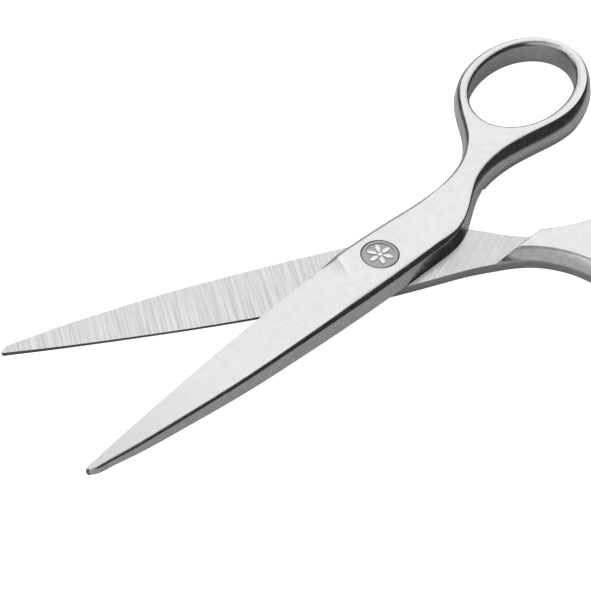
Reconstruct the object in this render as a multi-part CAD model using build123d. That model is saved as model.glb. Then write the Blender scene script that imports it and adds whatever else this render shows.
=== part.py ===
from build123d import *
from math import cos, pi, radians, sin
import os

# Hair cutting shears, right handed, lying on the finger half's flat outer face and open at rest.
# Frame: origin on the pivot axis at the resting plane, +X along the bisector of the two tips,
# +Y towards the finger handle, +Z up through the thumb half. Millimetres.

# ---- driving dimensions ----
TIP_X = 70.5                # pivot axis to blade tip
THICK = 3.25                # each half, inner face to flat outer face
FACE_GAP = 0.1              # between the two inner faces
HANDLE_DROP = 2.15          # how far a handle stands past its inner face
REST_OPEN = 26.4            # angle between the tips at rest, degrees

EDGE_FACET = 0.85           # height of the facet along the cutting edge
BLADE_SLOPE = 0.225         # rise of the ground blade face, away from the cutting edge
BLADE_LINE = ((12.0, -6.0), (68.0, -0.9))   # chord of the cutting edge that the ground face rises from
RUNOUT_R = 15.0             # grinding wheel run-out where the ground face meets the pivot flat
RUNOUT_X = 13.2             # where the run-out begins
LEAN = 0.35                 # how far a wall leans in between the inner face and the rim's bevel
RIM_H, RIM_W = 1.0, 0.75    # height and width of the rounded bevel along the outer rim
INNER_RIM_H = 1.6           # the same bevel where a handle stands past its inner face
RIM_MID = (0.45, 0.2)       # depth and inset at the bevel's middle, as shares of its height and width
WIDE_START, WIDE_FULL = -20.0, -30.0    # a handle's wider bevels grow between these
PLAIN = (1.0, -60.0, -70.0)             # a bevel's widening, and where along the ring that fades out
FACING_WIDE = (1.5, -54.0, -66.0)       # outer rim, along a handle's facing side
FACING_SLIM = (0.4, -54.0, -66.0)       # inner rim, along a handle's facing side
OUTSIDE_WIDE = (2.4, -37.0, -45.0)      # inner rim, along a handle's outside
OUTSIDE_LOW = (1.8, -37.0, -45.0)       # outer rim, along the finger handle's outside
SPINE_FLARE = 0.33          # the thumb half's spine stands out by this at the inner face
FLARE_END = (-12.0, -25.0)  # and that fades out along the shoulder
SLIM_END = 14.0             # the lean fades out over this length before the tip
TIP_NOSE_Y = -0.2           # foremost point of the tip's arc

RING_X, RING_Y = -53.3, -13.1   # centre of a finger hole
RING_TILT = 10.5                # the oval hole leans outward from the blade's line, degrees
RING_BAND = 3.0                 # ring's width round the hole
FAR_END = 169.5                 # angle round the oval where the outline runs straight down
HOLE_A, HOLE_B = 13.0, 9.2      # half length and half width of a finger hole
GRIP = 0.9                      # rounding of a finger hole's two rims

STEP_REAR = (-29.0, -1.2)       # step from the inner face up to the handle, at the spine side
STEP_FRONT = (-20.5, -5.6)      # the same step at the edge side
STEP_LEAN = 1.0                 # the step's bevel leans back this far over the handle's drop
REACH = TIP_X + 10.0            # a long cutter's length
CUT_SPAN = 40.0                 # the ground face cutter's width, past both sides of the blade

HEAD_R = 3.45               # pivot pin's head, flush in the thumb half
HEAD_H = 1.35
RING_GAP = 0.1              # round a head or nut in its counterbore
NECK_AF = 3.8               # square neck under the head, across flats
NECK_H = 0.9
SHANK_R = 1.9
THREAD_R = 1.6
THREAD_FLAT_AF = 2.5        # across the two flats of the threaded end
RUN_GAP = 0.05              # radial running clearance
PAST = 1.0                  # a cutter runs past the face it opens by this much
SEAT_GAP = 0.02             # between flat faces that slide on each other
BUSH_R = 2.6
GLIDE_R = 4.6               # glide washer between the halves
GLIDE_T = 0.6
NUT_R = 3.6
NUT_H = 0.95
NUT_SUNK = 0.2              # nut's face above the resting plane
SLOT_W, SLOT_D = 0.9, 0.35  # coin slot across the nut
KEYED_T = 0.3
SPRING_H = 0.35
SPRING_T = 0.12
THRUST_T = 0.2
WASHER_R = NUT_R - 0.1      # thrust washer and keyed washer, loose in the nut's counterbore
SPRING_IN_R = SHANK_R + 0.2
SPRING_OUT_R = NUT_R - 0.3
SHANK_PAST = 0.07           # shank below the thrust washer, short of the keyed washer when tightened
THREAD_SHORT = 0.1          # threaded end, inside the nut's face

EDGE_BREAK = 0.12           # chamfer on turned edges
FIELD_R = 2.8               # sunk field on the pin's head
FIELD_SINK = 0.12
PETALS = 6                  # rosette that stands up in the field, flush with the head
PETAL_OUT = 1.5             # petal's centre from the axis
PETAL_A, PETAL_B = 0.92, 0.4
BUD_R = 0.42

SPOT = 0.45                 # depth of a spot face cut in a ring's leaning wall
BUMPER_X = -46.5            # along the finger half
BUMPER_R = 1.7
BUMPER_PROUD = 1.3          # past the ring's widest line
BUMPER_ROUND = 0.55
BUMPER_STEM_R = 0.9
REST_ANGLE = 152.0          # where the finger rest joins the ring, degrees round the oval
REST_R = 1.45               # finger rest's round section
REST_COLLAR_R = 2.0
REST_COLLAR_H = 1.3
REST_NECK_L = 1.0           # straight length before the bend
REST_ROUND = 0.3
REST_STUD_R = 1.0
REST_BEND_R = 10.5
REST_BEND = 78.0            # degrees
REST_TIP_R = 1.7
STEM_L = 2.0                # bumper's stem and finger rest's stud, into the ring

# ---- levels that follow from them ----
MID_Z = THICK
TOP_INNER_Z = THICK + FACE_GAP
TOP_Z = TOP_INNER_Z + THICK
GLIDE_SINK = (GLIDE_T - FACE_GAP) / 2
NUT_TOP_Z = NUT_SUNK + NUT_H
KEYED_Z = NUT_TOP_Z + SEAT_GAP
SPRING_Z = KEYED_Z + KEYED_T
THRUST_Z = SPRING_Z + SPRING_H
NUT_SINK_DEPTH = THRUST_Z + THRUST_T
NECK_Z = TOP_Z - HEAD_H - NECK_H
SHANK_END_Z = THRUST_Z - SHANK_PAST
THREAD_END_Z = NUT_SUNK + THREAD_SHORT

# ---- outline of one half at its inner face ----
# In the half's own frame: +x to the tip, cutting edge on -y, inner face at z = 0, outer at z = THICK.
def ring_point(angle, grow):
    """A point of the oval round the finger hole, angle in degrees from the near end."""
    across = (HOLE_A + grow) * cos(radians(angle))
    up = (HOLE_B + grow) * sin(radians(angle))
    lean, rise = cos(radians(RING_TILT)), sin(radians(RING_TILT))
    return (RING_X + across * lean - up * rise, RING_Y + across * rise + up * lean)


SPINE = [(70.2, 0.22), (69.3, 0.78), (67.0, 1.27), (63.0, 2.0), (51.5, 3.6), (39.6, 4.9), (26.8, 5.7),
         (13.3, 6.25), (0.0, 6.4), (-10.0, 6.3)]
SHOULDER = [(-10.0, 6.3), (-15.2, 5.8), (-19.4, 4.2), (-24.8, 1.1), (-30.0, -1.0), (-37.0, -1.8),
            (-44.5, -1.0)]
FACING_RING = [(87, 3.75), (107, 3.5), (128, 3.2), (148, RING_BAND), (FAR_END, RING_BAND)]
FACING_SIDE = SHOULDER + [ring_point(a, band) for a, band in FACING_RING]
NECK = [(-40.2, -18.8), (-37.4, -15.2), (-34.3, -11.2), (-31.2, -8.7), (-27.0, -6.7), (-20.0, -5.45),
        (-8.0, -5.8), (9.0, -6.15)]
OUTER_SIDE = [ring_point(a, RING_BAND) for a in (FAR_END, 190, 211, 232, 253, 274, 295)] + NECK
CUTTING_EDGE = [(9.0, -6.15), (19.0, -5.75), (34.2, -4.8), (48.6, -3.4), (63.0, -1.67), (70.2, -0.62)]
ALONG_SPINE = (-1.0, -0.02)
ALONG_EDGE = (1.0, 0.02)
DOWN = (0.0, -1.0)          # a side's direction at the ring's far end
SIDES = [
    (SPINE, (-1.0, 0.8), ALONG_SPINE),
    (FACING_SIDE, ALONG_SPINE, DOWN),
    (OUTER_SIDE, DOWN, ALONG_EDGE),
    (CUTTING_EDGE, ALONG_EDGE, (1.0, 0.14)),
]
SIDE_SAMPLES = 24           # points that carry a side from one level to the next
HUB_Z = (THICK - HANDLE_DROP) / 2    # mid-height of a ring
FIND_TO = 1e-6              # share of a side's length


def side_edge(points, start, end):
    ends = [Vector(*start).normalized(), Vector(*end).normalized()]
    return Edge.make_spline([Vector(*p) for p in points], tangents=ends, scale=False)


def ramp(x, start, full):
    """0 at start and before, 1 at full and beyond, smooth between."""
    t = min(1.0, max(0.0, (x - start) / (full - start)))
    return t * t * (3 - 2 * t)


def inset_side(points, start, end, inset, widening, flare):
    """The same side moved into the material by inset, less at the tip and more along a handle."""
    wide, fade_start, fade_end = widening
    side = side_edge(points, start, end)
    moved = []
    for i in range(SIDE_SAMPLES + 1):
        at = side.position_at(i / SIDE_SAMPLES)
        along = side.tangent_at(i / SIDE_SAMPLES)
        slim = min(1.0, max(0.0, (TIP_X - at.X) / SLIM_END))
        handle = ramp(at.X, WIDE_START, WIDE_FULL) * (1 - ramp(at.X, fade_start, fade_end))
        d = inset * slim * (1 + (wide - 1) * handle) - flare * (1 - ramp(at.X, *FLARE_END))
        moved.append((at.X - along.Y * d, at.Y + along.X * d))
    return side_edge(moved, start, end)


def section(z, inset, widenings, flare):
    """The half's outline at height z, moved into the material by inset and out again by a flare."""
    flares = (flare, flare, 0.0, 0.0)
    edges = [inset_side(*side, inset, *extra) for side, *extra in zip(SIDES, widenings, flares)]
    tip = Edge.make_three_point_arc(edges[-1] @ 1, Vector(TIP_X, TIP_NOSE_Y), edges[0] @ 0)
    return Face(Wire(edges + [tip])).moved(Location((0, 0, z)))


def hole_section(z, grow):
    """A finger hole's outline at height z."""
    oval = Ellipse(HOLE_A + grow, HOLE_B + grow)
    return (Pos(RING_X, RING_Y, z) * Rot(0, 0, RING_TILT) * oval).face()


def rim_levels(z, height, lean):
    """Heights and insets of the rounded bevel up to a flat face at z."""
    down, across = RIM_MID
    return [(z - height, lean), (z - down * height, lean + across * RIM_W), (z, lean + RIM_W)]


def half_body(flare, outside):
    """Blade, ricasso, neck and ring in one forging, with leaning walls and rounded rims."""
    outer_wide = (PLAIN, FACING_WIDE, outside, PLAIN)
    inner_wide = (PLAIN, FACING_SLIM, OUTSIDE_WIDE, PLAIN)
    middle = section(0.0, 0.0, outer_wide, flare)
    upper = rim_levels(THICK, RIM_H, LEAN)
    lower = rim_levels(-HANDLE_DROP, -INNER_RIM_H, LEAN / 3)
    body = loft([middle] + [section(z, d, outer_wide, 0.0) for z, d in upper], ruled=True)
    body += loft([middle] + [section(z, d, inner_wide, 0.0) for z, d in lower], ruled=True)
    soft = GRIP * (1 - cos(pi / 4))
    up = [(THICK + PAST, GRIP), (THICK, GRIP), (THICK - soft, soft), (THICK - GRIP, 0.0)]
    down = [(-HANDLE_DROP - z + THICK, d) for z, d in reversed(up)]
    return body - loft([hole_section(z, d) for z, d in up + down], ruled=True)


def front_clearance():
    """Everything below the inner face ahead of the handle's step, with the step's bevel."""
    deep = HANDLE_DROP + PAST
    front, rear = Vector(*STEP_FRONT), Vector(*STEP_REAR)
    along = (rear - front).normalized()
    back = Vector(-along.Y, along.X)
    ahead = back * -2 * REACH
    ends = [rear + along * REACH, front - along * REACH]
    lean = back * (STEP_LEAN * deep / HANDLE_DROP)
    top = Wire.make_polygon([ends[0], ends[1], ends[1] + ahead, ends[0] + ahead])
    low = Wire.make_polygon([ends[0] + lean, ends[1] + lean, ends[1] + ahead, ends[0] + ahead])
    return loft([Face(top), Face(low).moved(Location((0, 0, -deep)))], ruled=True)


def ground_face_cutter():
    """Everything above the ground blade face, with the wheel's run-out at the pivot end."""
    (x0, y0), (x1, y1) = BLADE_LINE
    along = Vector(x1 - x0, y1 - y0).normalized()
    rise = Vector(-along.Y, along.X, BLADE_SLOPE).normalized()
    start = Vector(x0, y0, EDGE_FACET) + along * ((RUNOUT_X - x0) / along.X)
    profile = Wire([
        Edge.make_line((0, 0), (REACH, 0)),
        Edge.make_line((REACH, 0), (REACH, RUNOUT_R)),
        Edge.make_line((REACH, RUNOUT_R), (-RUNOUT_R, RUNOUT_R)),
        Edge.make_three_point_arc((-RUNOUT_R, RUNOUT_R),
                                  (-RUNOUT_R * sin(pi / 4), RUNOUT_R * (1 - cos(pi / 4))), (0, 0)),
    ])
    plane = Plane(origin=start - rise * CUT_SPAN / 2, x_dir=along, z_dir=-rise)
    return extrude(plane * Face(profile), amount=-CUT_SPAN)


def blank_half(flare, outside):
    return half_body(flare, outside) - front_clearance() - ground_face_cutter()


# ---- small shapes ----
def disc(radius, low, high):
    return extrude(Pos(0, 0, low) * Circle(radius), amount=high - low)


def washer(outer, inner, low, high):
    return disc(outer, low, high) - disc(inner, low - PAST, high + PAST)


def square_bar(across, low, high):
    return extrude(Pos(0, 0, low) * Rectangle(across, across), amount=high - low)


def two_flats(radius, across, low, high):
    slab = extrude(Pos(0, 0, low) * Rectangle(3 * radius, across), amount=high - low)
    return disc(radius, low, high) & slab


def to_thumb(shape):
    """From a half's own frame to the thumb half's place at rest."""
    return Pos(0, 0, TOP_INNER_Z) * Rot(0, 0, REST_OPEN / 2) * shape


def to_finger(shape):
    """From a half's own frame to the finger half's place at rest: turned over about its length."""
    return Pos(0, 0, MID_Z) * Rot(0, 0, -REST_OPEN / 2) * Rot(180, 0, 0) * shape


# ---- the two halves ----
def thumb_blade():
    half = blank_half(SPINE_FLARE, PLAIN)
    half -= disc(HEAD_R + RING_GAP, THICK - HEAD_H, THICK + PAST)
    half -= square_bar(NECK_AF + 2 * RUN_GAP, THICK - HEAD_H - NECK_H, THICK)
    half -= disc(SHANK_R + RUN_GAP, -PAST, THICK - HEAD_H - NECK_H)
    half -= disc(GLIDE_R + RING_GAP, -PAST, GLIDE_SINK + SEAT_GAP)
    return to_thumb(half)


def finger_blade():
    half = blank_half(0.0, OUTSIDE_LOW)
    half -= disc(NUT_R + RING_GAP, THICK - NUT_SINK_DEPTH, THICK + PAST)
    half -= disc(BUSH_R, -PAST, THICK)
    half -= disc(GLIDE_R, -PAST, GLIDE_SINK)
    for seat, radius, stem in (
        (bumper_seat(), BUMPER_R, BUMPER_STEM_R),
        (rest_seat(), REST_COLLAR_R, REST_STUD_R),
    ):
        half -= seat * disc(radius, -SPOT, PAST)
        half -= seat * disc(stem, -SPOT - STEM_L, 0.0)
    return to_finger(half)


def ring_seat(at, along):
    """Plane on the ring's widest line at mid-height, looking outward."""
    outward = (along.Y, -along.X, 0)
    return Plane(origin=(at.X, at.Y, HUB_Z), x_dir=(along.X, along.Y, 0), z_dir=outward)


def bumper_seat():
    """Where the bumper sits, on the ring's facing side."""
    side = side_edge(*SIDES[1])
    low, high = 0.0, 1.0
    while high - low > FIND_TO:
        mid = (low + high) / 2
        if side.position_at(mid).X > BUMPER_X:
            low = mid
        else:
            high = mid
    return ring_seat(side.position_at(low), side.tangent_at(low))


def rest_seat():
    """Where the finger rest screws into the ring's far end."""
    at = Vector(*ring_point(REST_ANGLE, RING_BAND))
    along = (Vector(*ring_point(REST_ANGLE + 1, RING_BAND)) - at).normalized()
    return ring_seat(at, along)


# ---- what sits on the finger half ----
def bumper():
    button = disc(BUMPER_R, -SPOT, BUMPER_PROUD)
    button = fillet(button.edges().group_by(Axis.Z)[-1], BUMPER_ROUND)
    return to_finger(bumper_seat() * (button + disc(BUMPER_STEM_R, -SPOT - STEM_L, 0.0)))


def finger_rest():
    """A hooked tang: stud, collar, a bent round bar and a ball at the end."""
    bend = radians(REST_BEND)
    neck = REST_COLLAR_H + REST_NECK_L
    centre = (REST_BEND_R, neck)
    half_turn = (centre[0] - REST_BEND_R * cos(bend / 2), neck + REST_BEND_R * sin(bend / 2))
    end = (centre[0] - REST_BEND_R * cos(bend), neck + REST_BEND_R * sin(bend))
    path = Wire([
        Edge.make_line((0, 0, 0), (0, 0, neck)),
        Edge.make_three_point_arc((0, 0, neck), (half_turn[0], 0, half_turn[1]), (end[0], 0, end[1])),
    ])
    bar = sweep(Circle(REST_R), path)
    bar += Pos(end[0], 0, end[1]) * Sphere(REST_TIP_R)
    bar += fillet(disc(REST_COLLAR_R, -SPOT, REST_COLLAR_H).edges().group_by(Axis.Z)[-1], REST_ROUND)
    bar += disc(REST_STUD_R, -SPOT - STEM_L, 0.0)
    return to_finger(rest_seat() * bar)


# ---- the pivot ----
def pivot_pin():
    """Round head with a raised rosette, square neck, shank, and a threaded end with two flats."""
    head = disc(HEAD_R, TOP_Z - HEAD_H, TOP_Z)
    head = chamfer(head.edges().group_by(Axis.Z)[-1], EDGE_BREAK)
    head -= disc(FIELD_R, TOP_Z - FIELD_SINK, TOP_Z + PAST)
    root_z = TOP_Z - 2 * FIELD_SINK
    petal = extrude(Pos(PETAL_OUT, 0, root_z) * Ellipse(PETAL_A, PETAL_B), amount=TOP_Z - root_z)
    for i in range(PETALS):
        head += Rot(0, 0, 360 / PETALS * i) * petal
    head += disc(BUD_R, root_z, TOP_Z)
    head += square_bar(NECK_AF, NECK_Z, TOP_Z - HEAD_H)
    pin = Rot(0, 0, REST_OPEN / 2) * head
    pin += disc(SHANK_R, SHANK_END_Z, NECK_Z)
    pin += Rot(0, 0, REST_OPEN / 2) * two_flats(THREAD_R, THREAD_FLAT_AF, THREAD_END_Z, SHANK_END_Z)
    return pin


def glide_washer():
    return washer(GLIDE_R, SHANK_R + RUN_GAP, MID_Z - GLIDE_SINK, MID_Z - GLIDE_SINK + GLIDE_T)


def pivot_bush():
    return washer(BUSH_R, SHANK_R + RUN_GAP, NUT_SINK_DEPTH, MID_Z - GLIDE_SINK)


def thrust_washer():
    return washer(WASHER_R, SHANK_R + RUN_GAP, THRUST_Z, NUT_SINK_DEPTH)


def disc_spring():
    """A dished washer between the thrust washer and the keyed washer."""
    profile = Wire.make_polygon([
        (SPRING_IN_R, 0, THRUST_Z),
        (SPRING_IN_R, 0, THRUST_Z - SPRING_T),
        (SPRING_OUT_R, 0, SPRING_Z),
        (SPRING_OUT_R, 0, SPRING_Z + SPRING_T),
    ])
    return revolve(Face(profile), Axis.Z)


def keyed_washer():
    ring = disc(WASHER_R, KEYED_Z, SPRING_Z)
    hole = two_flats(THREAD_R + RUN_GAP, THREAD_FLAT_AF + 2 * RUN_GAP, KEYED_Z - PAST, SPRING_Z + PAST)
    return ring - Rot(0, 0, REST_OPEN / 2) * hole


def tension_nut():
    nut = washer(NUT_R, THREAD_R + RUN_GAP, NUT_SUNK, NUT_TOP_Z)
    nut = chamfer(nut.edges().group_by(Axis.Z)[0].sort_by(SortBy.LENGTH)[-1], EDGE_BREAK)
    slot = extrude(Pos(0, 0, NUT_SUNK - PAST) * Rectangle(3 * NUT_R, SLOT_W), amount=PAST + SLOT_D)
    return nut - slot


NODES = {
    "finger_blade": finger_blade,
    "thumb_blade": thumb_blade,
    "pivot_pin": pivot_pin,
    "glide_washer": glide_washer,
    "pivot_bush": pivot_bush,
    "thrust_washer": thrust_washer,
    "disc_spring": disc_spring,
    "keyed_washer": keyed_washer,
    "tension_nut": tension_nut,
    "bumper": bumper,
    "finger_rest": finger_rest,
}


def main():
    os.makedirs("parts", exist_ok=True)
    for name, make in NODES.items():
        shape = make()
        export_step(shape, f"parts/{name}.step")
        print(f"{name}: {shape.volume:.1f} mm3, {len(shape.solids())} solid, valid {shape.is_valid}")


if __name__ == "__main__":
    main()
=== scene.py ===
import math

import bmesh
import bpy
import numpy as np
from mathutils import Matrix, Vector
from mathutils.geometry import delaunay_2d_cdt


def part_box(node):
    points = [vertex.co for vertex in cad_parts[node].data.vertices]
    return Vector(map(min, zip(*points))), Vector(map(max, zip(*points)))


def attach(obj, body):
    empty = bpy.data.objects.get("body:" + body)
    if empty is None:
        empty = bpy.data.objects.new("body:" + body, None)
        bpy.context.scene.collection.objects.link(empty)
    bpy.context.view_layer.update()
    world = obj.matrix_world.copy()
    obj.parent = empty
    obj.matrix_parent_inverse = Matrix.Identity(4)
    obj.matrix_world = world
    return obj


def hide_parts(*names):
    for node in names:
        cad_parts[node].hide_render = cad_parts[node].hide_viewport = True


# Hair cutting shears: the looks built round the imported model. The two halves are finer copies of the
# CAD halves, with a rounded bevel that follows the ground face to the tip, and the other nodes keep
# their CAD shape. A half's lengths are millimetres until its mesh is placed. The scene, its lights
# and its materials are in metres.

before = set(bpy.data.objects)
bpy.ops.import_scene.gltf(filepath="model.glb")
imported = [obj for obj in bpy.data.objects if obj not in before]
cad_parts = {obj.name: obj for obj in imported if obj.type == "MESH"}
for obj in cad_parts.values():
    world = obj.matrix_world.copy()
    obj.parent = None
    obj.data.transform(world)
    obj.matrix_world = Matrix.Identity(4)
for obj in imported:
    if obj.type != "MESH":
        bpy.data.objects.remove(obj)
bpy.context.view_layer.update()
MM = 0.001

# ---- a half's dimensions, as in the CAD source ----
TIP_X = 70.5                # pivot axis to blade tip
THICK = 3.25                # inner face to flat outer face
FACE_GAP = 0.1              # between the two inner faces
HANDLE_DROP = 2.15          # how far a handle stands past its inner face
REST_OPEN = 26.4            # angle between the tips at rest, degrees
EDGE_FACET = 0.85           # height of the facet along the cutting edge
BLADE_SLOPE = 0.225         # rise of the ground face per millimetre across
BLADE_LINE = ((12.0, -6.0), (68.0, -0.9))   # where the ground face is as high as the facet
RUNOUT_R = 15.0             # radius of the run-out at the pivot end of the ground face
RUNOUT_X = 13.2             # where along the blade the run-out starts
LEAN = 0.35                 # a wall leans in by this much up to the bevel
RIM_H, RIM_W = 1.0, 0.75    # height and width of the bevel along the outer rim
SLIM_END = 14.0             # the lean fades out over this length before the tip
LOW_W = 0.87                # width of the slope where a handle stands past its inner face
LOW_OUTSIDE = 2.4           # that width is multiplied by this along a handle's outside
LOW_FACING = 0.4            # and by this along the finger handle's facing side
OUTSIDE_LOW = 1.8           # the bevel's width, multiplied along the finger handle's outside
SPINE_FLARE = 0.33          # the thumb half's spine stands out by this at the inner face
FLARE_FADE = (-12, -25)     # along x, where that starts to fade and has gone
RING_X, RING_Y = -53.3, -13.1
RING_TILT = 10.5            # turn of the ring's long axis, degrees
RING_BAND = 3.0             # metal round the finger hole
FAR_END = 169.5             # where the facing and outer curves meet on the ring, degrees
HOLE_A, HOLE_B = 13.0, 9.2  # half axes of the finger hole
GRIP = 0.9                  # radius of the finger hole's rims
STEP_REAR, STEP_FRONT = (-29.0, -1.2), (-20.5, -5.6)
STEP_LEAN = 1.0             # width of the step's slope
CORNER_CHAMFER = 0.05       # round the mouths of the head's and the nut's counterbores
HEAD_R, HEAD_FLOOR = 3.55, THICK - 1.35     # thumb half: the pin head's counterbore
NECK_SIDE, NECK_FLOOR = 3.9, THICK - 2.25   # the square hole for the pin's neck
SHANK_R = 1.95              # the hole for its shank
THUMB_RECESS_R, THUMB_RECESS_Z = 4.7, 0.27  # the glide washer's recess
NUT_R, NUT_FLOOR = 3.7, THICK - 2.02        # finger half: the nut's counterbore
BUSH_R = 2.6                # the hole for the bush
FINGER_RECESS_R, FINGER_RECESS_Z = 4.6, 0.25

# ---- finer than the CAD ----
BEVEL_CURVE = 1.6           # 1 is a straight chamfer, 2 a full round
WALL_STEPS = (0.0, 0.35, 0.7)       # levels up the wall, as shares of it
BEVEL_LEVELS = 6
ROLL_STEPS = (0.33, 0.66, 1.0)      # levels over the roll into the outer face
TIP_BEVEL = 0.45            # share of the bevel left at the tip
TIP_FADE = 3.0              # length over which it shrinks to that
THIN_POWER = 0.6            # how fast it shrinks where the blade gets thin
EDGE_BEVEL_FROM = 1.05      # height where a bevel starts on the cutting edge's side
FACING_W, FACING_H = 2.0, 2.35      # its width and height, multiplied along a handle's facing side
SOFT_ROLLS = {              # width and fall of the outer face's roll into the bevel, and where
    "spine": (0.8, 0.13, (71, 66, -4, -12)),
    "facing": (1.6, 0.15, (-6, -14, -44, -58)),
    "outer": (0.8, 0.10, (-18, -30, -60, -70)),
}
PLAIN_BREAK = (0.45, 0.3)   # width and fall along the pivot area's edge side
PLAIN_REAR, PLAIN_FRONT = (-20, -14), (19, 14)      # where that starts and is full, from either end
LEAST_BREAK = (0.04, 0.01)  # and round everything else
SHOULDER_NEAT = 0.55        # the bevel shrinks by this share round the shoulder
SPINE_NEAT = 0.25           # and by this share along the blade's spine
SPINE_NEAT_ALONG = (5, 35)  # where that starts and is full
FLAT_BAND = 0.35            # a band of even faces inside the roll
FLAT_FADE = 25.0            # length over which the band narrows towards the tip
HOLE_CLEAR = 0.25           # least width of flat left between the band and a finger hole's rim
CREASE_SOFT = 0.5           # half width of the blend where the ground face runs out
CREASE_CLEAR = 0.25         # least distance of the blend's points from the rim
GRID_ALONG, GRID_ACROSS = (-9.2, 0.01, 0.7), (0.3, 12.0, 0.8)       # points on the run-out
GRID_CREASE, GRID_RIM = 1.6, 0.45   # their distance from the blend, as half widths, and the rim
LOW_EDGE = 0.15             # height of the last break before a handle's low face
LOW_BREAK = 0.38            # its width
STEP_BREAK = 0.3            # its width along the step
LOW_LEVELS, LOW_FINE = 8, 8         # levels down a handle's side, and steps in each
DARK_PAINT_BELOW = 1.5           # the edge's wall is painted near black, as painted shade, where the column stays lower than this
SPACING = 0.8               # along the outline
STEP_SPACING = 0.1          # the same near the step's ends
STEP_SPANS = {"facing": (-33, -27), "outer": (-24.5, -19)}      # where those are, along x
MARKS_SKEW = 4.9            # the grinding marks lean from square across the blade, degrees
MARKS_BEHIND = 45.0         # and behind the pivot
SHARP_EDGE = 36.0           # faces that meet at more than this keep a hard edge, degrees

# ---- along x: where a growth starts, is full, starts to fade and has gone ----
FACING_ALONG = (-19, -40, -54, -66)
SHOULDER_ALONG = (-11, -17, -21, -29)
OUTSIDE_ALONG = (-20, -30, -37, -45)
LOW_OUTSIDE_ALONG = (-16, -24, -37, -45)
LOW_FACING_ALONG = (-20, -30, -54, -66)

# ---- a half's materials, by their place in its slots ----
# the third slot is near black steel for the honed facet and the tip's wall: painted shade
SATIN, GROUND, PAINTED_DARK, FORGED = range(4)


def ring_point(angle, grow):
    """A point beside the finger hole's ellipse, further out by grow."""
    across = (HOLE_A + grow) * math.cos(math.radians(angle))
    up = (HOLE_B + grow) * math.sin(math.radians(angle))
    lean, rise = math.cos(math.radians(RING_TILT)), math.sin(math.radians(RING_TILT))
    return (RING_X + across * lean - up * rise, RING_Y + across * rise + up * lean)


HOLE_ANGLES = range(0, 360, 3)
HOLE_RIM = np.array([ring_point(a, GRIP) for a in HOLE_ANGLES])
SPINE = [(70.2, 0.22), (69.3, 0.78), (67.0, 1.27), (63.0, 2.0), (51.5, 3.6), (39.6, 4.9), (26.8, 5.7),
         (13.3, 6.25), (0.0, 6.4), (-10.0, 6.3)]
SHOULDER = [(-10.0, 6.3), (-15.2, 5.8), (-19.4, 4.2), (-24.8, 1.1), (-30.0, -1.0), (-37.0, -1.8),
            (-44.5, -1.0)]
FACING_RING = [(87, 3.75), (107, 3.5), (128, 3.2), (148, RING_BAND), (FAR_END, RING_BAND)]
FACING_SIDE = SHOULDER + [ring_point(a, band) for a, band in FACING_RING]
NECK = [(-40.2, -18.8), (-37.4, -15.2), (-34.3, -11.2), (-31.2, -8.7), (-27.0, -6.7), (-20.0, -5.45),
        (-8.0, -5.8), (9.0, -6.15)]
OUTER_SIDE = [ring_point(a, RING_BAND) for a in (FAR_END, 190, 211, 232, 253, 274, 295)] + NECK
CUTTING_EDGE = [(9.0, -6.15), (19.0, -5.75), (34.2, -4.8), (48.6, -3.4), (63.0, -1.67), (70.2, -0.62)]
TIP_NOSE = (70.5, -0.2)
ALONG_SPINE, ALONG_EDGE, DOWN = (-1.0, -0.02), (1.0, 0.02), (0.0, -1.0)
SIDES = {                   # points, and the directions at both ends
    "spine": (SPINE, (-1.0, 0.8), ALONG_SPINE),
    "facing": (FACING_SIDE, ALONG_SPINE, DOWN),
    "outer": (OUTER_SIDE, DOWN, ALONG_EDGE),
    "edge": (CUTTING_EDGE, ALONG_EDGE, (1.0, 0.14)),
}


# ---- the outline as columns ----
def ramp(x, start, full):
    """Rises smoothly from 0 at start to 1 at full."""
    t = min(1.0, max(0.0, (x - start) / (full - start)))
    return t * t * (3 - 2 * t)


def spline(points, start, end, count=3000):
    """Dense points and unit directions along a cubic spline with unit tangents at its ends."""
    p = np.array(points, float)
    h = np.linalg.norm(np.diff(p, axis=0), axis=1)
    n = len(p)
    a, b = np.zeros((n, n)), np.zeros((n, 2))
    a[0, 0] = a[-1, -1] = 1
    b[0], b[-1] = (np.array(v) / np.linalg.norm(v) for v in (start, end))
    for i in range(1, n - 1):
        a[i, i - 1:i + 2] = 1 / h[i - 1], 2 / h[i - 1] + 2 / h[i], 1 / h[i]
        b[i] = 3 * ((p[i] - p[i - 1]) / h[i - 1] ** 2 + (p[i + 1] - p[i]) / h[i] ** 2)
    m = np.linalg.solve(a, b)
    knots = np.concatenate(([0], np.cumsum(h)))
    at = np.linspace(0, knots[-1], count)
    k = np.clip(np.searchsorted(knots, at, side="right") - 1, 0, n - 2)
    t, w = ((at - knots[k]) / h[k])[:, None], h[k][:, None]
    place = ((2 * t**3 - 3 * t**2 + 1) * p[k] + (t**3 - 2 * t**2 + t) * w * m[k]
             + (3 * t**2 - 2 * t**3) * p[k + 1] + (t**3 - t**2) * w * m[k + 1])
    way = np.gradient(place, axis=0)
    return place, way / np.linalg.norm(way, axis=1)[:, None]


def near_step(side, x):
    """Whether the outline is close to an end of the step, where it needs more points."""
    low, high = STEP_SPANS.get(side, (0, 0))
    return low < x < high


def outline():
    """Points round a half at its inner face: (side, place, direction inward), tip to tip."""
    found = []
    for side, (points, start, end) in SIDES.items():
        place, way = spline(points, start, end)
        due = 0.0
        for i in range(len(place) - 1):
            if due <= 0:
                found.append((side, place[i], np.array((-way[i][1], way[i][0]))))
                due = STEP_SPACING if near_step(side, place[i][0]) else SPACING
            due -= np.linalg.norm(place[i + 1] - place[i])
        if due < SPACING / 2 and side != "edge":
            found.pop()
    return found + tip_arc()


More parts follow.
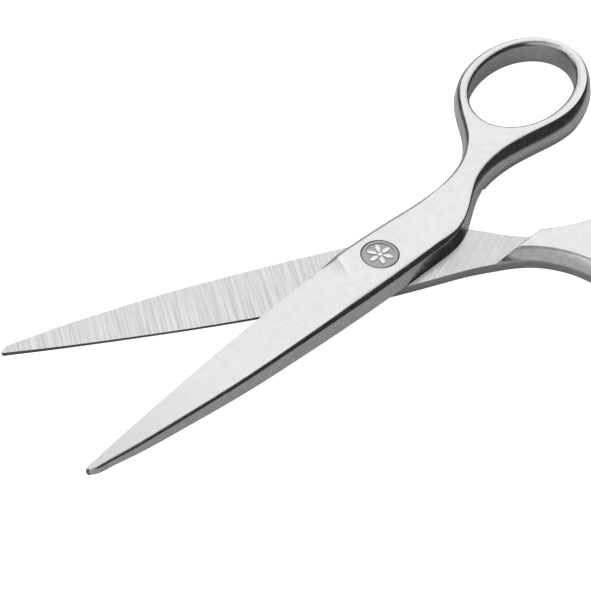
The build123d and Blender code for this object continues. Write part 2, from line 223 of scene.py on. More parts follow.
def tip_arc(count=9):
    """The blunt tip's arc from the cutting edge to the spine."""
    a, b, c = (np.array(p) for p in (CUTTING_EDGE[-1], TIP_NOSE, SPINE[0]))
    rows = 2 * np.array((b - a, c - b))
    centre = np.linalg.solve(rows, np.array((b @ b - a @ a, c @ c - b @ b)))
    first, last = (math.atan2(*(p - centre)[::-1]) for p in (a, c))
    radius = np.linalg.norm(a - centre)
    turns = np.linspace(first, last, count)[:-1]
    return [("tip", centre + radius * np.array((math.cos(t), math.sin(t))),
             -np.array((math.cos(t), math.sin(t)))) for t in turns]


# ---- heights ----
LINE = np.array(BLADE_LINE[1]) - np.array(BLADE_LINE[0])
LINE_WAY = LINE / np.linalg.norm(LINE)
LINE_ACROSS = np.array((-LINE_WAY[1], LINE_WAY[0]))
LINE_START = np.array(BLADE_LINE[0]) + LINE_WAY * (RUNOUT_X - BLADE_LINE[0][0]) / LINE_WAY[0]
RISE = math.hypot(1, BLADE_SLOPE)
STEP_WAY = (np.array(STEP_REAR) - np.array(STEP_FRONT)) / math.dist(STEP_REAR, STEP_FRONT)
STEP_BACK = np.array((-STEP_WAY[1], STEP_WAY[0]))


def top_height(p):
    """Height of the outer face over a point: flat, or the ground blade face with its run-out."""
    u, w = (p - LINE_START) @ LINE_WAY, (p - LINE_START) @ LINE_ACROSS
    if u <= -RUNOUT_R:
        return THICK
    lift = RUNOUT_R - math.sqrt(RUNOUT_R**2 - min(u, 0.0) ** 2)
    return min(THICK, EDGE_FACET + lift * RISE + BLADE_SLOPE * w)


def drop(p):
    """How far a half stands below its inner face at a point: 0 ahead of the step."""
    back = (p - np.array(STEP_FRONT)) @ STEP_BACK
    at = (0.0, STEP_LEAN, STEP_LEAN + STEP_BREAK)
    return float(np.interp(back, at, (0.0, HANDLE_DROP - LOW_EDGE, HANDLE_DROP)))


def hump(x, start, full, fade, end):
    """Rises from 0 at start to 1 at full, and falls from fade to 0 at end."""
    return ramp(x, start, full) * (1 - ramp(x, fade, end))


def bevel_size(side, place, height):
    """Width and height of the outer bevel at a point of the outline."""
    x = place[0]
    if side == "edge" or (side == "outer" and x > 0):
        share = ramp(height, EDGE_BEVEL_FROM, THICK)
        return RIM_W * share, RIM_H * share
    if side == "tip":
        share = TIP_BEVEL * ramp(place[1], CUTTING_EDGE[-1][1], SPINE[0][1])
        return RIM_W * share, RIM_H * share
    share = min(1.0, (height / THICK) ** THIN_POWER)
    if side == "spine":
        share *= TIP_BEVEL + (1 - TIP_BEVEL) * ramp(x, TIP_X, TIP_X - TIP_FADE)
        share *= 1 - SPINE_NEAT * ramp(x, *SPINE_NEAT_ALONG)
        return RIM_W * share, RIM_H * share
    wide = high = 1.0
    if side == "facing":
        grown, neat = hump(x, *FACING_ALONG), hump(x, *SHOULDER_ALONG)
        wide = 1 + (FACING_W - 1) * grown - SHOULDER_NEAT * neat
        high = 1 + (FACING_H - 1) * grown - SHOULDER_NEAT * neat
    return RIM_W * share * wide, RIM_H * share * high


def soft_roll(side, x):
    """Width and fall of the outer face's roll into the bevel."""
    w, h = LEAST_BREAK
    if side in ("outer", "edge") and x > PLAIN_REAR[0]:
        share = ramp(x, *PLAIN_REAR) * ramp(x, *PLAIN_FRONT)
        w, h = (a + (b - a) * share for a, b in zip(LEAST_BREAK, PLAIN_BREAK))
    if side in SOFT_ROLLS:
        wide, deep, along = SOFT_ROLLS[side]
        share = hump(x, *along)
        w, h = w + (wide - w) * share, h + (deep - h) * share
    return w, h


def upper_column(side, place, inward, flare, outside):
    """Points from the inner face up the wall and bevel to the outer face.

    flare stands the spine's foot out, and outside multiplies the bevel along a handle's outside.
    """
    x = place[0]
    slim = min(1.0, max(0.0, (TIP_X - x) / SLIM_END))
    grown = 1.0
    if side == "outer":
        grown += (outside - 1) * hump(x, *OUTSIDE_ALONG)
    slope = LEAN * slim * grown / (THICK - RIM_H)
    out = flare * (1 - ramp(x, *FLARE_FADE)) if side in ("spine", "facing") else 0.0
    if side == "tip":
        out = flare * ramp(place[1], TIP_NOSE[1], SPINE[0][1])
    roll, fall = soft_roll(side, x)
    height = top_height(place)
    for _ in range(5):
        wide, high = bevel_size(side, place, height)
        wide, high = wide * grown, min(high, 0.8 * height)
        lean = slope * (height - high)
        height = top_height(place + inward * (lean + wide))
    fall = min(fall, 0.45 * high)
    flat = FLAT_BAND * min(1.0, max(0.1, (TIP_X - x) / FLAT_FADE))
    room = np.min(np.linalg.norm(HOLE_RIM - place, axis=1)) - HOLE_CLEAR
    share = min(1.0, max(0.05, (room - lean - wide) / (roll + flat)))
    roll, flat = roll * share, flat * share
    wall = height - high
    levels = [((lean + out) * f - out, wall * f) for f in WALL_STEPS]
    for f in np.linspace(0, 1, BEVEL_LEVELS):
        levels.append((lean + wide * f**BEVEL_CURVE, wall + (high - fall) * f))
    for f in ROLL_STEPS:
        d = lean + wide + roll * f
        levels.append((d, top_height(place + inward * d) - fall * (1 - f) ** 2))
    d += flat
    levels.append((d, top_height(place + inward * d)))
    return [(*(place + inward * d), z) for d, z in levels]


def lower_column(side, place, inward, facing):
    """Points from the inner face down a handle's side to its low face, stopped by the step.

    facing multiplies the slope's width along the handle's facing side.
    """
    x = place[0]
    wide = LOW_W
    if side == "outer":
        wide *= 1 + (LOW_OUTSIDE - 1) * hump(x, *LOW_OUTSIDE_ALONG)
    if side == "facing":
        wide *= 1 + (facing - 1) * hump(x, *LOW_FACING_ALONG)
    reach = wide - min(LOW_BREAK, 0.85 * wide)
    levels = [(reach * (0.35 * f + 0.65 * f**2), (HANDLE_DROP - LOW_EDGE) * f)
              for f in np.linspace(0, 1, LOW_LEVELS)] + [(wide, HANDLE_DROP)]
    column = []
    for (d0, z0), (d1, z1) in zip(levels, levels[1:]):
        for f in np.linspace(0, 1, LOW_FINE + 1)[:-1]:
            column.append((d0 + (d1 - d0) * f, z0 + (z1 - z0) * f))
    column.append(levels[-1])
    stop = 0
    for d, z in column[1:]:
        if z > drop(place + inward * d) + 1e-9:
            break
        stop += 1
    kept = [column[min(i * LOW_FINE, stop)] for i in range(1, len(levels))]
    if stop < len(column) - 1:
        d = column[stop][0]
        kept = [(min(a, d), z) for a, z in kept]
        kept[-1] = (d, drop(place + inward * d))
    return [(*(place + inward * d), -z) for d, z in kept]


# ---- mesh assembly ----
class Skin:
    """Vertices and faces of one closed piece, each face with a material number."""

    def __init__(self):
        self.points, self.faces, self.paints = [], [], []

    def loop(self, points):
        first = len(self.points)
        self.points += [tuple(float(c) for c in p) for p in points]
        return list(range(first, len(self.points)))

    def face(self, corners, paint):
        self.faces.append(corners)
        self.paints.append(paint)

    def band(self, low, high, paint=lambda i: SATIN):
        """Quads between two closed loops of the same length."""
        for i in range(len(low)):
            j = (i + 1) % len(low)
            self.face((low[i], low[j], high[j], high[i]), paint(i))

    def cap(self, outer, holes, creases, inside, height, paint):
        """Fills between an outer loop and holes, seen from above, with creases and inside points."""
        loops = [outer] + holes
        flat = [self.points[i][:2] for ring in loops for i in ring]
        known = [i for ring in loops for i in ring]
        edges, at = [], 0
        for ring in loops:
            edges += [(at + i, at + (i + 1) % len(ring)) for i in range(len(ring))]
            at += len(ring)
        place = {v: i for i, v in enumerate(known)}
        for crease in creases:
            way = []
            for c in crease:
                if isinstance(c, int):
                    way.append(place[c])
                else:
                    flat.append(tuple(c))
                    way.append(len(flat) - 1)
            edges += list(zip(way, way[1:]))
        flat += [tuple(p) for p in inside]
        verts, _, tris, origin, _, _ = delaunay_2d_cdt([Vector(p) for p in flat], edges, [], 0, 1e-7)
        spot = []
        for v, o in zip(verts, origin):
            old = [k for k in o if k < len(known)]
            spot.append(known[old[0]] if old else self.loop([(v[0], v[1], height(np.array(v[:])))])[0])
        rings = [np.array([self.points[i][:2] for i in ring]) for ring in loops]
        for tri in tris:
            middle = np.mean([np.array(verts[i][:]) for i in tri], axis=0)
            if within(middle, rings[0]) and not any(within(middle, r) for r in rings[1:]):
                self.face(tuple(spot[i] for i in tri), paint(middle))

    def piece(self, name, placement, materials):
        """The finished object: welded, placed, and smooth except at its hard edges."""
        mesh = bpy.data.meshes.new(name)
        mesh.from_pydata([tuple(c * MM for c in p) for p in self.points], [], self.faces)
        mesh.polygons.foreach_set("material_index", self.paints)
        for m in materials:
            mesh.materials.append(m)
        b = bmesh.new()
        b.from_mesh(mesh)
        bmesh.ops.remove_doubles(b, verts=b.verts, dist=1e-7)
        bmesh.ops.dissolve_degenerate(b, edges=b.edges, dist=1e-7)
        bmesh.ops.recalc_face_normals(b, faces=b.faces)
        b.to_mesh(mesh)
        b.free()
        mesh.transform(placement)
        for poly in mesh.polygons:
            poly.use_smooth = True
        mesh.set_sharp_from_angle(angle=math.radians(SHARP_EDGE))
        obj = bpy.data.objects.new(name, mesh)
        bpy.context.scene.collection.objects.link(obj)
        normals = obj.modifiers.new("even_normals", "WEIGHTED_NORMAL")
        normals.keep_sharp = True
        return obj


def within(p, ring):
    """Whether a point lies inside a closed polygon."""
    x, y = ring[:, 0], ring[:, 1]
    nx, ny = np.roll(x, -1), np.roll(y, -1)
    cross = (y > p[1]) != (ny > p[1])
    reach = (nx - x) * (p[1] - y) / np.where(cross, ny - y, 1.0) + x
    return bool(np.count_nonzero(cross & (p[0] < reach)) % 2)


def round_loop(radius, z, count=64):
    """A circle round the pivot axis at height z."""
    turns = [2 * math.pi * i / count for i in range(count)]
    return [(radius * math.cos(t), radius * math.sin(t), z) for t in turns]


def square_loop(across, z, count=64):
    """A square with the same number of points as a round loop, for the pin's neck."""
    spots = []
    for x, y, _ in round_loop(1, 0, count):
        k = across / 2 / max(abs(x), abs(y))
        spots.append((x * k, y * k, z))
    return spots


def nearest(loop, points, target):
    """The loop vertex that lies nearest to a point, seen from above."""
    return min(loop, key=lambda i: math.dist(points[i][:2], target))


def edge_gap(p, ring):
    """Distance from a point to the nearest of others."""
    return np.min(np.linalg.norm(ring - p, axis=1))


def runout_crease():
    """The line where the ground face's run-out meets the flat outer face."""
    u_edge = -math.sqrt(RUNOUT_R**2 - (RUNOUT_R - (THICK - EDGE_FACET) / RISE) ** 2)
    crease = []
    for u in np.linspace(u_edge, 0, 25):
        lift = RUNOUT_R - math.sqrt(RUNOUT_R**2 - u * u)
        w = (THICK - EDGE_FACET - lift * RISE) / BLADE_SLOPE
        crease.append(LINE_START + LINE_WAY * u + LINE_ACROSS * w)
    return crease


def runout_lines(top, points):
    """The crease from rim to rim and the two lines that soften it, and points on the run-out."""
    rim = np.array([points[i][:2] for i in top])

    def kept(line):
        return [c for c in line if within(c, rim) and edge_gap(c, rim) > CREASE_CLEAR]

    crease = runout_crease()
    middle = kept(crease)
    along = np.gradient(np.array(middle), axis=0)
    across = np.stack((along[:, 1], -along[:, 0]), axis=1) / np.linalg.norm(along, axis=1)[:, None]
    lines = [[nearest(top, points, crease[0])] + middle + [nearest(top, points, middle[-1])]]
    lines += [kept(middle + way * across) for way in (-CREASE_SOFT, CREASE_SOFT)]
    inside = []
    for u in np.arange(*GRID_ALONG):
        for w in np.arange(*GRID_ACROSS):
            p = LINE_START + LINE_WAY * u + LINE_ACROSS * w
            clear = edge_gap(p, np.array(middle)) > GRID_CREASE * CREASE_SOFT
            if clear and edge_gap(p, rim) > GRID_RIM and top_height(p) < THICK and within(p, rim):
                inside.append(p)
    return lines, inside


def hole_profile():
    """The finger hole's wall from the outer to the low face: distance out from it, and height."""
    rims = [math.radians(a) for a in (90, 70, 50, 30, 15, 0)]
    profile = [(GRIP * (1 - math.cos(a)), THICK - GRIP * (1 - math.sin(a))) for a in rims]
    return profile + [(d, THICK - HANDLE_DROP - z) for d, z in reversed(profile)]


def half(name, bores, placement, materials, flare, outside, facing):
    """One half of the shears in its own frame: +x to the tip, inner face at z 0."""
    skin = Skin()
    columns = outline()
    ups = [upper_column(*c, flare, outside) for c in columns]
    lows = [lower_column(*c, facing) for c in columns]
    levels = [skin.loop([u[k] for u in ups]) for k in range(len(ups[0]))]
    unders = [levels[0]] + [skin.loop([low[k] for low in lows]) for k in range(len(lows[0]))]

    def wall_paint(i):
        # the honed facet and the tip's wall take the near black slot: painted shade
        facet = columns[i][0] == "edge" and ups[i][-1][2] < DARK_PAINT_BELOW
        return PAINTED_DARK if facet or columns[i][0] == "tip" else FORGED

    bare = len(WALL_STEPS) + BEVEL_LEVELS
    for low, high in zip(levels[:bare], levels[1:bare]):
        skin.band(low, high, wall_paint)
    for low, high in zip(levels[bare - 1:], levels[bare:]):
        skin.band(low, high)
    for low, high in zip(unders, unders[1:]):
        skin.band(high, low, lambda i: FORGED)

    holes = [skin.loop([(*ring_point(a, d), z) for a in HOLE_ANGLES]) for d, z in hole_profile()]
    for low, high in zip(holes, holes[1:]):
        skin.band(low, high, lambda i: FORGED)

    bore = [skin.loop(b) for b in bores]
    for low, high in zip(bore, bore[1:]):
        skin.band(low, high)

    top = levels[-1]
    creases, inside = runout_lines(top, skin.points)
    skin.cap(top, [holes[0], bore[0]], creases, inside, top_height, lambda p: SATIN)

    under = unders[-1]
    lines = [[step_end(under, skin.points, back, way) for way in (STEP_WAY, -STEP_WAY)]
             for back in (0.0, STEP_LEAN, STEP_LEAN + STEP_BREAK)]
    skin.cap(under, [holes[-1], bore[-1]], lines, [], lambda p: -drop(p), under_paint)
    return skin.piece(name, placement, materials)


def under_paint(p):
    """The material under a half: the inner face, the step or the handle's low face."""
    return {0.0: GROUND, HANDLE_DROP: SATIN}.get(drop(p), FORGED)


def step_end(loop, points, back, way):
    """The loop's vertex where the line of the step, moved back, leaves the half."""
    def off(i):
        p = np.array(points[i][:2]) - np.array(STEP_FRONT)
        return abs(p @ STEP_BACK - back)

    middle = (np.array(STEP_FRONT) + np.array(STEP_REAR)) / 2
    side = [i for i in loop if -36 < points[i][0] < -15 and (np.array(points[i][:2]) - middle) @ way > 0]
    return min(side, key=off)


# ---- materials ----
STEEL_IOR = 2.5
NOISE_SPAN = (0.3, 0.7)     # most of a noise's values
MIXED_SPAN = (0.36, 0.64)   # the same for two noises together
FIELD_EDGE = (0.00276, 0.00284)     # round the head's sunk field, metres from the axis
RELIEF_BELOW = (0.00009, 0.00003)   # the relief's foot and top, metres below the head's top


def new_material(name, **sockets):
    """A material with one Principled shader, its node tree and that shader."""
    m = bpy.data.materials.new(name)
    m.use_nodes = True
    tree = m.node_tree
    shader = tree.nodes["Principled BSDF"]
    for key, value in sockets.items():
        shader.inputs[key.replace("_", " ").title().replace("Ior", "IOR")].default_value = value
    return m, tree, shader


def stretched_noise(tree, scale, turn=0.0, detail=3.0, rough=0.6, seed=0.0):
    """Noise over the piece's own coordinates, scaled per axis (cycles per metre) and turned."""
    where = tree.nodes.new("ShaderNodeTexCoord")
    turned = tree.nodes.new("ShaderNodeMapping")
    turned.inputs["Rotation"].default_value = (0, 0, math.radians(turn))
    scaled = tree.nodes.new("ShaderNodeMapping")
    scaled.inputs["Scale"].default_value = scale
    scaled.inputs["Location"].default_value = (seed, seed, seed)
    noise = tree.nodes.new("ShaderNodeTexNoise")
    noise.inputs["Scale"].default_value = 1.0
    noise.inputs["Detail"].default_value = detail
    noise.inputs["Roughness"].default_value = rough
    tree.links.new(where.outputs["Object"], turned.inputs["Vector"])
    tree.links.new(turned.outputs["Vector"], scaled.inputs["Vector"])
    tree.links.new(scaled.outputs["Vector"], noise.inputs["Vector"])
    return noise.outputs["Fac"]


def remap(tree, value, low, high, to_low, to_high):
    """A value from low to high, carried over to the range from to_low to to_high and clamped."""
    node = tree.nodes.new("ShaderNodeMapRange")
    for key, v in (("From Min", low), ("From Max", high), ("To Min", to_low), ("To Max", to_high)):
        node.inputs[key].default_value = v
    tree.links.new(value, node.inputs["Value"])
    return node.outputs["Result"]


def blend_colours(tree, factor, dark, light):
    """A colour from dark to light, by a factor from 0 to 1."""
    node = tree.nodes.new("ShaderNodeMix")
    node.data_type = "RGBA"
    node.inputs["A"].default_value = (*dark, 1)
    node.inputs["B"].default_value = (*light, 1)
    tree.links.new(factor, node.inputs["Factor"])
    return node.outputs["Result"]


def maths(tree, kind, a, b):
    """One arithmetic node over numbers or other nodes' outputs."""
    node = tree.nodes.new("ShaderNodeMath")
    node.operation = kind
    for i, v in enumerate((a, b)):
        if isinstance(v, (int, float)):
            node.inputs[i].default_value = v
        else:
            tree.links.new(v, node.inputs[i])
    return node.outputs[0]


def bump(tree, shader, height, depth):
    """Relief of that depth in metres."""
    node = tree.nodes.new("ShaderNodeBump")
    node.inputs["Distance"].default_value = depth
    tree.links.new(height, node.inputs["Height"])
    tree.links.new(node.outputs["Normal"], shader.inputs["Normal"])


def coordinates(tree):
    """The piece's own X, Y and Z in metres, as separate outputs."""
    where = tree.nodes.new("ShaderNodeTexCoord")
    split = tree.nodes.new("ShaderNodeSeparateXYZ")
    tree.links.new(where.outputs["Object"], split.inputs["Vector"])
    return split.outputs


def mixture(tree, first, second, share):
    """That share of the first value and the rest of the second."""
    parts = [maths(tree, "MULTIPLY", first, share), maths(tree, "MULTIPLY", second, 1 - share)]
    return maths(tree, "ADD", *parts)


def vary(tree, shader, grain, dark, light, at_low, at_high):
    """Colour from dark to light over the grain, and roughness from at_low to at_high."""
    tree.links.new(blend_colours(tree, grain, dark, light), shader.inputs["Base Color"])
    tree.links.new(remap(tree, grain, *NOISE_SPAN, at_low, at_high), shader.inputs["Roughness"])


def satin_steel(name, turn):
    """Outer faces: fine lengthwise satin with a faint mottle, and painted shade that darkens them
    towards the tip.
    """
    m, tree, shader = new_material(name, metallic=1.0, ior=STEEL_IOR)
    strokes = stretched_noise(tree, (420, 2600, 900), turn=turn, detail=3.0)
    mottle = stretched_noise(tree, (520, 520, 520), detail=4.0, seed=7.0)
    mixed = mixture(tree, strokes, mottle, 0.5)
    tone = remap(tree, mixed, *MIXED_SPAN, 0.0, 1.0)
    steel = blend_colours(tree, tone, (0.47, 0.47, 0.47), (0.55, 0.55, 0.55))
    # painted shade: towards the tip the satin is blended into a darker grey
    tip_shade_share = remap(tree, coordinates(tree)["X"], 0.040, 0.069, 0.0, 0.75)
    tip_shaded_steel = blend_colours(tree, tip_shade_share, (0, 0, 0), (0.40, 0.40, 0.40))
    tree.links.new(steel, tip_shaded_steel.node.inputs["A"])
    tree.links.new(tip_shaded_steel, shader.inputs["Base Color"])
    tree.links.new(remap(tree, mixed, *MIXED_SPAN, 0.27, 0.35), shader.inputs["Roughness"])
    bump(tree, shader, strokes, 0.000002)
    return m


def cross_ground_steel(name, turn, behind):
    """Inner faces: marks of the grinding wheel across the blade, slanted behind the pivot."""
    m, tree, shader = new_material(name, metallic=1.0, ior=STEEL_IOR)
    across = stretched_noise(tree, (7600, 60, 60), turn=turn, detail=0.0)
    slanted = stretched_noise(tree, (6000, 80, 80), turn=behind, detail=0.0)
    slanted = remap(tree, slanted, 0.0, 1.0, 0.24, 0.64)
    past = remap(tree, coordinates(tree)["X"], -0.003, -0.010, 0.0, 1.0)
    fine = tree.nodes.new("ShaderNodeMix")
    for key, value in (("Factor", past), ("A", across), ("B", slanted)):
        tree.links.new(value, fine.inputs[key])
    cloud = stretched_noise(tree, (700, 350, 350), turn=turn, detail=3.0, seed=3.0)
    mixed = mixture(tree, fine.outputs["Result"], cloud, 0.85)
    tone = remap(tree, mixed, *MIXED_SPAN, 0.0, 1.0)
    steel = blend_colours(tree, tone, (0.36, 0.36, 0.36), (0.49, 0.49, 0.49))
    tree.links.new(steel, shader.inputs["Base Color"])
    tree.links.new(remap(tree, mixed, *MIXED_SPAN, 0.26, 0.23), shader.inputs["Roughness"])
    return m


def forged_side():
    """Walls and bevels: belt finished, a little darker than the faces and softly mottled."""
    m, tree, shader = new_material("forged_side", metallic=1.0, ior=STEEL_IOR)
    strokes = stretched_noise(tree, (500, 500, 3200), detail=3.0)
    mottle = stretched_noise(tree, (900, 900, 900), detail=4.0, seed=5.0)
    mixed = mixture(tree, strokes, mottle, 0.5)
    tone = remap(tree, mixed, *MIXED_SPAN, 0.0, 1.0)
    steel = blend_colours(tree, tone, (0.34, 0.34, 0.34), (0.46, 0.46, 0.46))
    tree.links.new(steel, shader.inputs["Base Color"])
    tree.links.new(remap(tree, mixed, *MIXED_SPAN, 0.18, 0.27), shader.inputs["Roughness"])
    bump(tree, shader, mottle, 0.00001)
    return m


def painted_dark_edge():
    """The honed facet along the cutting edge, its steel painted near black: painted shade for the dark
    it reflects.
    """
    m, tree, shader = new_material("painted_dark_edge", metallic=1.0, ior=STEEL_IOR)
    wear = stretched_noise(tree, (900, 200, 200), detail=3.0)
    # near black base colour: painted shade, not the colour of honed steel
    vary(tree, shader, wear, (0.10, 0.10, 0.105), (0.16, 0.16, 0.165), 0.12, 0.22)
    return m


def turned_steel():
    """The nut and the finger rest."""
    m, tree, shader = new_material("turned_steel", metallic=1.0, ior=STEEL_IOR)
    grain = stretched_noise(tree, (2600, 2600, 2600), detail=3.0)
    vary(tree, shader, grain, (0.34, 0.345, 0.35), (0.44, 0.445, 0.45), 0.26, 0.36)
    bump(tree, shader, grain, 0.000006)
    return m


def head_steel(low, high):
    """The pivot head: relief polished, the sunk field blasted darker, told apart by height."""
    m, tree, shader = new_material("head_steel", metallic=1.0, ior=STEEL_IOR)
    split = coordinates(tree)
    flat = tree.nodes.new("ShaderNodeCombineXYZ")
    tree.links.new(split["X"], flat.inputs["X"])
    tree.links.new(split["Y"], flat.inputs["Y"])
    out = tree.nodes.new("ShaderNodeVectorMath")
    out.operation = "LENGTH"
    tree.links.new(flat.outputs["Vector"], out.inputs[0])
    inside = remap(tree, out.outputs["Value"], *FIELD_EDGE, 1.0, 0.0)
    raised = maths(tree, "MULTIPLY", remap(tree, split["Z"], low, high, 0.0, 1.0), inside)
    grain = stretched_noise(tree, (5200, 5200, 5200), detail=2.0)
    field = blend_colours(tree, grain, (0.23, 0.23, 0.233), (0.33, 0.33, 0.333))
    node = tree.nodes.new("ShaderNodeMix")
    node.data_type = "RGBA"
    tree.links.new(raised, node.inputs["Factor"])
    tree.links.new(field, node.inputs["A"])
    node.inputs["B"].default_value = (0.53, 0.532, 0.535, 1)
    tree.links.new(node.outputs["Result"], shader.inputs["Base Color"])
    tree.links.new(remap(tree, raised, 0.0, 1.0, 0.42, 0.28), shader.inputs["Roughness"])
    bump(tree, shader, grain, 0.00001)
    return m


def spring_steel():
    """The disc spring and the keyed washer."""
    m, tree, shader = new_material("bright_rolled_steel", metallic=1.0, ior=STEEL_IOR)
    grain = stretched_noise(tree, (900, 900, 900), detail=3.0)
    vary(tree, shader, grain, (0.36, 0.36, 0.37), (0.48, 0.48, 0.49), 0.22, 0.34)
    return m


def bronze():
    """The pivot bush."""
    m, tree, shader = new_material("turned_bronze", metallic=1.0, ior=1.2)
    grain = stretched_noise(tree, (800, 800, 4000), detail=3.0)
    vary(tree, shader, grain, (0.55, 0.36, 0.16), (0.72, 0.50, 0.26), 0.28, 0.42)
    return m


def acetal():
    """The glide and thrust washers."""
    m, tree, shader = new_material("natural_acetal", ior=1.48)
    grain = stretched_noise(tree, (700, 700, 700), detail=3.0)
    vary(tree, shader, grain, (0.74, 0.73, 0.69), (0.82, 0.81, 0.77), 0.38, 0.5)
    return m


def rubber():
    """The bumper."""
    m, tree, shader = new_material("moulded_rubber", ior=1.5)
    grain = stretched_noise(tree, (3000, 3000, 3000), detail=4.0)
    vary(tree, shader, grain, (0.018, 0.018, 0.02), (0.035, 0.035, 0.038), 0.55, 0.75)
    bump(tree, shader, grain, 0.00002)
    return m


# ---- the pieces ----
def placed(lift, turn, flip):
    """Carries a half from its own frame: turned over if flip, turned about the pivot, lifted."""
    place = Matrix.Translation((0, 0, lift * MM)) @ Matrix.Rotation(math.radians(turn), 4, "Z")
    return place @ Matrix.Rotation(math.pi, 4, "X") if flip else place


def steels(half_name, tilt, way, dark_edge_paint, forged):
    """A half's materials: satin, ground, the near black steel painted as shade on the honed facet, and
    forged.
    """
    marks, behind = way * (tilt + MARKS_SKEW), way * (tilt + MARKS_BEHIND)
    ground = cross_ground_steel("cross_ground_" + half_name, marks, behind)
    return [satin_steel("satin_steel_" + half_name, way * tilt), ground, dark_edge_paint, forged]


def build_halves():
    """Both finer halves, with the bores that the pivot set sits in."""
    tilt = REST_OPEN / 2
    # the near black edge steel is painted shade
    dark_edge_paint, forged = painted_dark_edge(), forged_side()
    thumb_steels = steels("thumb", tilt, -1, dark_edge_paint, forged)
    finger_steels = steels("finger", tilt, 1, dark_edge_paint, forged)
    thumb_bores = [
        round_loop(HEAD_R + CORNER_CHAMFER, THICK), round_loop(HEAD_R, THICK - CORNER_CHAMFER),
        round_loop(HEAD_R, HEAD_FLOOR), square_loop(NECK_SIDE, HEAD_FLOOR),
        square_loop(NECK_SIDE, NECK_FLOOR), round_loop(SHANK_R, NECK_FLOOR),
        round_loop(SHANK_R, THUMB_RECESS_Z), round_loop(THUMB_RECESS_R, THUMB_RECESS_Z),
        round_loop(THUMB_RECESS_R, 0.0),
    ]
    finger_bores = [
        round_loop(NUT_R + CORNER_CHAMFER, THICK), round_loop(NUT_R, THICK - CORNER_CHAMFER),
        round_loop(NUT_R, NUT_FLOOR), round_loop(BUSH_R, NUT_FLOOR),
        round_loop(BUSH_R, FINGER_RECESS_Z), round_loop(FINGER_RECESS_R, FINGER_RECESS_Z),
        round_loop(FINGER_RECESS_R, 0.0),
    ]
    thumb = half("thumb_half_fine", thumb_bores, placed(THICK + FACE_GAP, tilt, False), thumb_steels,
                 SPINE_FLARE, 1.0, 1.0)
    finger = half("finger_half_fine", finger_bores, placed(THICK, -tilt, True), finger_steels,
                  0.0, OUTSIDE_LOW, LOW_FACING)
    rows = ((thumb, "thumb_half", "thumb_blade"), (finger, "finger_half", "finger_blade"))
    for piece, body, node in rows:
        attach(piece, body)
        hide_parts(node)


def dress(node, material):
    """Gives a CAD node a finished material."""
    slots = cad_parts[node].data.materials
    slots.clear()
    slots.append(material)


def dress_nodes():
    """Finished materials for the nodes that keep their CAD shape."""
    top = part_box("pivot_pin")[1].z
    dress("pivot_pin", head_steel(*(top - d for d in RELIEF_BELOW)))
    turned, spring, plastic = turned_steel(), spring_steel(), acetal()
    dress("tension_nut", turned)
    dress("finger_rest", turned)
    dress("keyed_washer", spring)
    dress("disc_spring", spring)
    dress("glide_washer", plastic)
    dress("thrust_washer", plastic)
    dress("pivot_bush", bronze())
    dress("bumper", rubber())


# ---- floor, lights and camera ----
FLOOR_SIZE = 6.0            # half its side, metres
FLOOR_GAP = 0.0002          # between the floor and the shears
FLOOR_GLOW = 1.0            # what the camera alone sees it give off
LIGHTS = [                  # name, azimuth, elevation, distance, size, radiance
    ("key", 237.0, 42.0, 1.0, (1.5, 1.1), 1.62),
    ("left_fill", 322.0, 52.0, 1.0, (0.9, 0.9), 1.1),
    ("low_left", 309.0, 16.0, 1.2, (0.6, 0.4), 1.0),
    ("overhead", 57.0, 82.0, 1.2, (0.9, 0.9), 0.55),
    ("side_card", 38.0, 33.0, 1.0, (1.7, 1.3), 0.85),
]
WORLD_DIM, WORLD_PALE = 0.06, 0.95  # as the shears reflect it, and as the camera sees it
VIEW_TURN, VIEW_RISE, VIEW_ROLL = 147.25, 47.0, 2.0     # degrees; the turn is from -Y towards +X
VIEW_TARGET = (16.93, -1.49, 3.3)   # millimetres
VIEW_DISTANCE = 0.45        # metres
LENS, SENSOR = 152.3, 36.0  # millimetres


def build_floor():
    """A pale floor just below the shears, which only the camera sees as white."""
    mesh = bpy.data.meshes.new("floor")
    corners = [(x * FLOOR_SIZE, y * FLOOR_SIZE, 0) for x, y in ((-1, -1), (1, -1), (1, 1), (-1, 1))]
    mesh.from_pydata(corners, [], [(0, 1, 2, 3)])
    floor = bpy.data.objects.new("floor", mesh)
    floor.location.z = -FLOOR_GAP
    bpy.context.scene.collection.objects.link(floor)
    m, tree, shader = new_material("pale_floor", roughness=0.9)
    shader.inputs["Base Color"].default_value = (0.72, 0.72, 0.72, 1)
    shader.inputs["Specular IOR Level"].default_value = 0.0
    shader.inputs["Emission Color"].default_value = (1, 1, 1, 1)
    seen = tree.nodes.new("ShaderNodeLightPath")
    glow = remap(tree, seen.outputs["Is Camera Ray"], 0.0, 1.0, 0.0, FLOOR_GLOW)
    tree.links.new(glow, shader.inputs["Emission Strength"])
    mesh.materials.append(m)


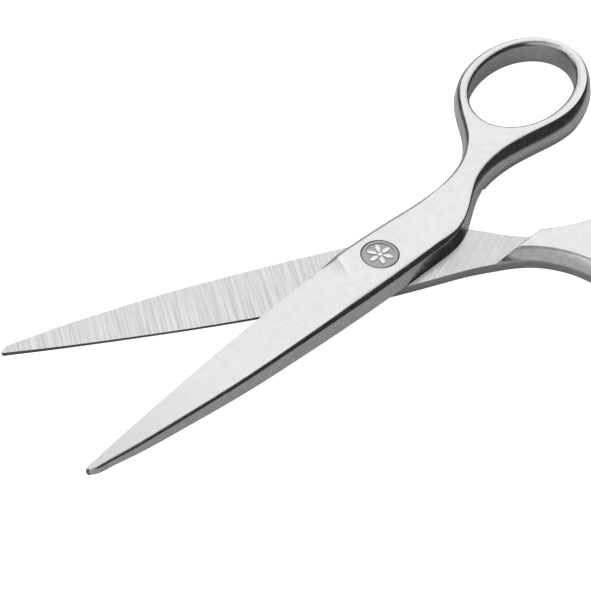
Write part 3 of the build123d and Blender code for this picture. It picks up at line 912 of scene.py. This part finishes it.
def softbox(name, azimuth, elevation, distance, size, radiance):
    """An area light that looks at the pivot; azimuth 0 is +X, 90 is +Y."""
    a, e = math.radians(azimuth), math.radians(elevation)
    back = Vector((math.cos(a) * math.cos(e), math.sin(a) * math.cos(e), math.sin(e)))
    light = bpy.data.lights.new(name, "AREA")
    light.shape = "RECTANGLE"
    light.size, light.size_y = size
    light.energy = radiance * math.pi * size[0] * size[1]
    obj = bpy.data.objects.new(name, light)
    obj.location = back * distance
    obj.rotation_mode = "QUATERNION"
    obj.rotation_quaternion = (-back).to_track_quat("-Z", "Y")
    bpy.context.scene.collection.objects.link(obj)


def build_lights():
    """The soft lights, and a world that is dim in reflections and pale to the camera."""
    for light in LIGHTS:
        softbox(*light)
    world = bpy.data.worlds.new("studio")
    bpy.context.scene.world = world
    world.use_nodes = True
    tree = world.node_tree
    seen = tree.nodes.new("ShaderNodeLightPath")
    mix = tree.nodes.new("ShaderNodeMixShader")
    dim = tree.nodes["Background"]
    dim.inputs["Color"].default_value = (WORLD_DIM, WORLD_DIM, WORLD_DIM, 1)
    pale = tree.nodes.new("ShaderNodeBackground")
    pale.inputs["Color"].default_value = (WORLD_PALE, WORLD_PALE, WORLD_PALE, 1)
    tree.links.new(seen.outputs["Is Camera Ray"], mix.inputs["Fac"])
    tree.links.new(dim.outputs["Background"], mix.inputs[1])
    tree.links.new(pale.outputs["Background"], mix.inputs[2])
    tree.links.new(mix.outputs["Shader"], tree.nodes["World Output"].inputs["Surface"])
    bpy.context.scene.view_settings.view_transform = "Standard"


def build_camera():
    """The camera, turned and raised round the shears, with a slight roll."""
    azimuth, elevation, roll = (math.radians(a) for a in (VIEW_TURN, VIEW_RISE, VIEW_ROLL))
    back = Vector((math.sin(azimuth) * math.cos(elevation), -math.cos(azimuth) * math.cos(elevation),
                   math.sin(elevation)))
    target = Vector(VIEW_TARGET) * MM
    camera = bpy.data.objects.new("camera", bpy.data.cameras.new("camera"))
    camera.data.lens, camera.data.sensor_width = LENS, SENSOR
    camera.data.clip_start, camera.data.clip_end = 0.01, 50.0
    camera.location = target + back * VIEW_DISTANCE
    camera.rotation_mode = "QUATERNION"
    level = (-back).to_track_quat("-Z", "Y")
    camera.rotation_quaternion = level @ Matrix.Rotation(roll, 3, "Z").to_quaternion()
    bpy.context.scene.collection.objects.link(camera)
    bpy.context.scene.camera = camera


build_camera()
build_halves()
dress_nodes()
build_floor()
build_lights()
